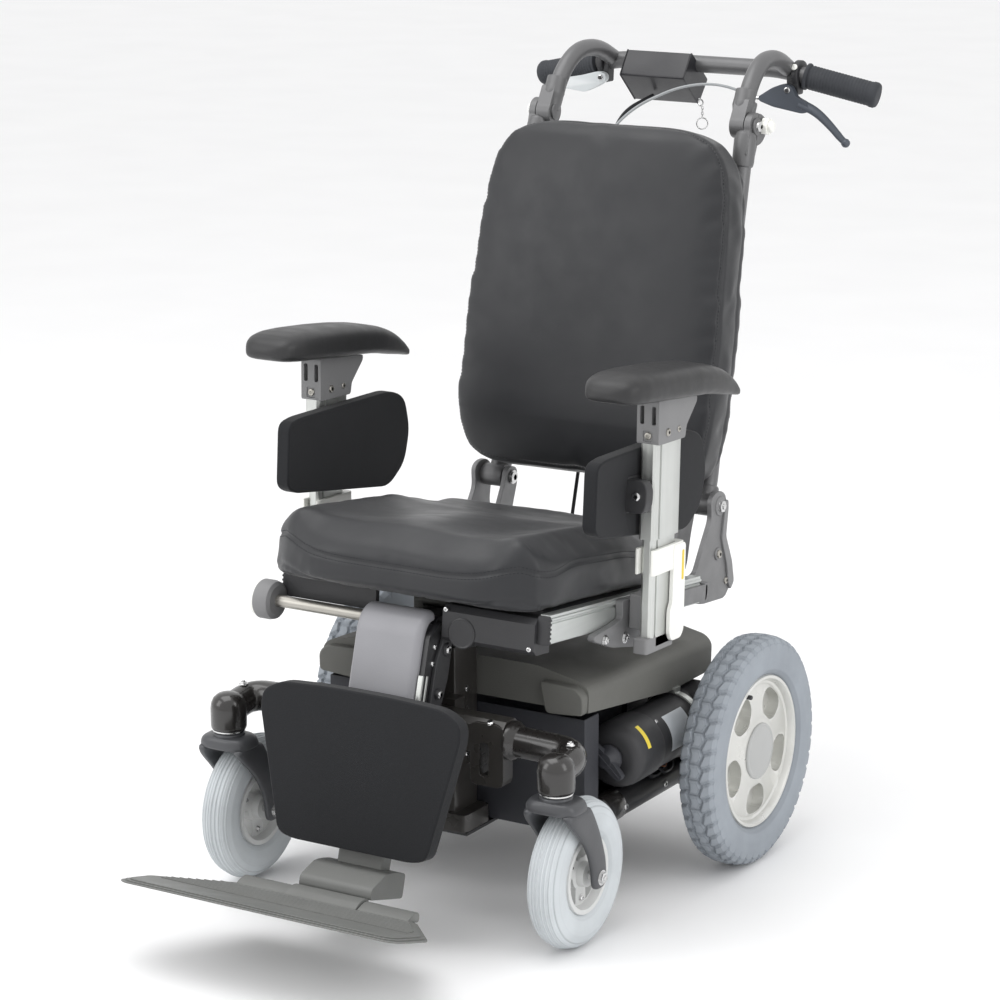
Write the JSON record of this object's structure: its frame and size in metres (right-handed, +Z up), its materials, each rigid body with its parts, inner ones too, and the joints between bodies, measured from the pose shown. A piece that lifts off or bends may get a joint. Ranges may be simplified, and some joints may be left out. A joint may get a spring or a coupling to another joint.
{
  "type": "power wheelchair",
  "caption": "Rear-wheel-drive power wheelchair with tilting seat, reclining back, centre-mounted elevating legrest, padded armrests and an attendant push bar.",
  "frame": {"origin": "centre of the footprint box, on the floor", "axes": "+Z up; the chair faces -Y; +X is the occupant's left"},
  "size_m": [0.64, 1.1829, 1.0722],
  "materials": {
    "frame_black": "satin black powder coat",
    "tray": "matt moulded",
    "shroud": "textured matt",
    "battery": "matt moulded case",
    "module": "black anodised, finned",
    "front_cast": "black painted casting",
    "mast": "dark plated",
    "caster_arm": "gloss black",
    "motor_case": "satin cover",
    "lever_black": "satin",
    "drive_rubber": "grey non-marking block tread",
    "rim": "cast silver",
    "fork": "satin dark grey",
    "caster_rubber": "pale grey ribbed",
    "hub": "satin grey",
    "pan": "satin",
    "rod": "zinc plated",
    "vinyl": "coated upholstery fabric with seams",
    "alu": "extruded, satin",
    "casting": "grey paint",
    "latch_white": "white",
    "bracket_grey": "grey",
    "pad_dark": "self-skinned foam",
    "side_foam": "self-skinned foam",
    "tube_grey": "grey paint",
    "grip_rubber": "ribbed",
    "brake_alloy": "dark blue-grey",
    "release_alloy": "light grey",
    "box_black": "matt",
    "wire": "plated",
    "cable_silver": "silver sheath",
    "cable_black": "black sheath",
    "mechanism": "black plated",
    "cover_grey": "light grey",
    "leg_tube": "satin",
    "plate_grey": "ribbed grey"
  },
  "bodies": {
    "base": {"chassis_frame": "frame_black", "battery_box": "tray", "battery_cover": "shroud", "battery_pack": "battery", "controller_module": "module", "front_mount": "front_cast", "caster_beam_left": "caster_arm", "caster_beam_right": "caster_arm", "motor_left": "motor_case", "motor_right": "motor_case"},
    "mast": {"mast_upper": "mast"},
    "seat": {"seat_pan": "pan", "legrest_rod": "rod", "seat_cushion": "vinyl", "seat_rail_left": "alu", "seat_rail_right": "alu", "side_plate_left": "casting", "side_plate_right": "casting", "arm_receiver_left": "alu", "arm_receiver_right": "alu"},
    "back": {"back_frame": "tube_grey", "back_cushion": "vinyl", "brake_cable": "cable_silver", "control_cable": "cable_black"},
    "handlebar": {"push_bar": "tube_grey", "control_box": "box_black", "grip_left": "grip_rubber", "grip_right": "grip_rubber"},
    "brake_lever": {"brake_lever": "brake_alloy"},
    "release_lever": {"release_lever": "release_alloy"},
    "pull_ring": {"pull_ring": "wire"},
    "legrest": {"leg_frame": "mechanism", "leg_cover": "cover_grey", "calf_pad": "side_foam"},
    "leg_slide": {"leg_tube": "leg_tube"},
    "footplate": {"footplate": "plate_grey"},
    "drive_wheel_left": {"drive_tyre_left": "drive_rubber", "drive_rim_left": "rim"},
    "caster_swivel_left": {"caster_fork_left": "fork"},
    "caster_wheel_left": {"caster_tyre_left": "caster_rubber", "caster_hub_left": "hub"},
    "freewheel_left": {"freewheel_lever_left": "lever_black"},
    "arm_left": {"arm_post_left": "alu", "arm_bracket_left": "bracket_grey", "arm_pad_left": "pad_dark", "side_pad_left": "side_foam"},
    "arm_latch_left": {"arm_latch_left": "latch_white"},
    "join_knob_left": {"join_knob_left": "latch_white"},
    "drive_wheel_right": {"drive_tyre_right": "drive_rubber", "drive_rim_right": "rim"},
    "caster_swivel_right": {"caster_fork_right": "fork"},
    "caster_wheel_right": {"caster_tyre_right": "caster_rubber", "caster_hub_right": "hub"},
    "freewheel_right": {"freewheel_lever_right": "lever_black"},
    "arm_right": {"arm_post_right": "alu", "arm_bracket_right": "bracket_grey", "arm_pad_right": "pad_dark", "side_pad_right": "side_foam"},
    "arm_latch_right": {"arm_latch_right": "latch_white"},
    "join_knob_right": {"join_knob_right": "latch_white"}
  },
  "joints": [
    {"name": "drive_left", "type": "hinge", "parent": "base", "child": "drive_wheel_left", "pos_m": [0.293, 0.165, 0.159], "axis": [1, 0, 0], "continuous": true},
    {"name": "caster_turn_left", "type": "hinge", "parent": "base", "child": "caster_swivel_left", "pos_m": [0.252, -0.284, 0.215], "axis": [0, 0, 1], "continuous": true},
    {"name": "caster_roll_left", "type": "hinge", "parent": "caster_swivel_left", "child": "caster_wheel_left", "pos_m": [0.252, -0.234, 0.099], "axis": [1, 0, 0], "continuous": true},
    {"name": "freewheel_left", "type": "hinge", "parent": "base", "child": "freewheel_left", "pos_m": [0.205, -0.07, 0.195], "axis": [0, 1, 0], "range_deg": [0, 90]},
    {"name": "arm_height_left", "type": "slide", "parent": "seat", "child": "arm_left", "axis": [0, 0.0349, 0.9994], "range_m": [0, 0.07]},
    {"name": "arm_latch_left", "type": "hinge", "parent": "seat", "child": "arm_latch_left", "pos_m": [0.26, -0.0632, 0.48789], "axis": [1, 0, 0], "range_deg": [0, 10]},
    {"name": "join_knob_left", "type": "hinge", "parent": "back", "child": "join_knob_left", "pos_m": [0.188, 0.40247, 0.97728], "axis": [1, 0, 0], "continuous": true},
    {"name": "drive_right", "type": "hinge", "parent": "base", "child": "drive_wheel_right", "pos_m": [-0.293, 0.165, 0.159], "axis": [1, 0, 0], "continuous": true},
    {"name": "caster_turn_right", "type": "hinge", "parent": "base", "child": "caster_swivel_right", "pos_m": [-0.252, -0.284, 0.215], "axis": [0, 0, 1], "continuous": true},
    {"name": "caster_roll_right", "type": "hinge", "parent": "caster_swivel_right", "child": "caster_wheel_right", "pos_m": [-0.252, -0.234, 0.099], "axis": [1, 0, 0], "continuous": true},
    {"name": "freewheel_right", "type": "hinge", "parent": "base", "child": "freewheel_right", "pos_m": [-0.205, -0.07, 0.195], "axis": [0, 1, 0], "range_deg": [0, 90]},
    {"name": "arm_height_right", "type": "slide", "parent": "seat", "child": "arm_right", "axis": [0, 0.0349, 0.9994], "range_m": [0, 0.07]},
    {"name": "arm_latch_right", "type": "hinge", "parent": "seat", "child": "arm_latch_right", "pos_m": [-0.26, -0.0632, 0.48789], "axis": [1, 0, 0], "range_deg": [0, 10]},
    {"name": "join_knob_right", "type": "hinge", "parent": "back", "child": "join_knob_right", "pos_m": [-0.188, 0.40247, 0.97728], "axis": [1, 0, 0], "continuous": true},
    {"name": "seat_tilt", "type": "hinge", "parent": "base", "child": "seat", "pos_m": [0, 0.125, 0.345], "axis": [-1, 0, 0], "range_deg": [0, 15]},
    {"name": "mast_lift", "type": "slide", "parent": "base", "child": "mast", "axis": [0, 0, 1], "range_m": [0, 0.08]},
    {"name": "back_recline", "type": "hinge", "parent": "seat", "child": "back", "pos_m": [0, 0.263, 0.467], "axis": [-1, 0, 0], "range_deg": [-8, 30]},
    {"name": "push_bar_angle", "type": "hinge", "parent": "back", "child": "handlebar", "pos_m": [0, 0.38638, 0.97837], "axis": [-1, 0, 0], "range_deg": [-25, 35], "deforming": ["brake_cable", "control_cable"]},
    {"name": "brake_squeeze", "type": "hinge", "parent": "handlebar", "child": "brake_lever", "pos_m": [0.152, 0.5365, 1.012], "axis": [0, -1, 0], "range_deg": [0, 18], "stiffness_Nm_per_rad": 0.8, "springref_deg": -14.32},
    {"name": "release_squeeze", "type": "hinge", "parent": "handlebar", "child": "release_lever", "pos_m": [-0.152, 0.5365, 1.012], "axis": [0, 1, 0], "range_deg": [0, 15], "stiffness_Nm_per_rad": 0.8, "springref_deg": -14.32},
    {"name": "ring_swing", "type": "hinge", "parent": "handlebar", "child": "pull_ring", "pos_m": [0.004, 0.557, 0.977], "axis": [1, 0, 0], "range_deg": [-40, 40]},
    {"name": "legrest_elevate", "type": "hinge", "parent": "seat", "child": "legrest", "pos_m": [0, -0.235, 0.393], "axis": [-1, 0, 0], "range_deg": [0, 50]},
    {"name": "legrest_extend", "type": "slide", "parent": "legrest", "child": "leg_slide", "axis": [0, -0.2689, -0.9632], "range_m": [-0.01, 0.035]},
    {"name": "footplate_flip", "type": "hinge", "parent": "leg_slide", "child": "footplate", "pos_m": [0, -0.41935, 0.07486], "axis": [-1, 0, 0], "range_deg": [0, 80]}
  ],
  "couplings": [
    {"joint": "mast_lift", "follows": "seat_tilt", "m_per_rad": 0.295}
  ]
}
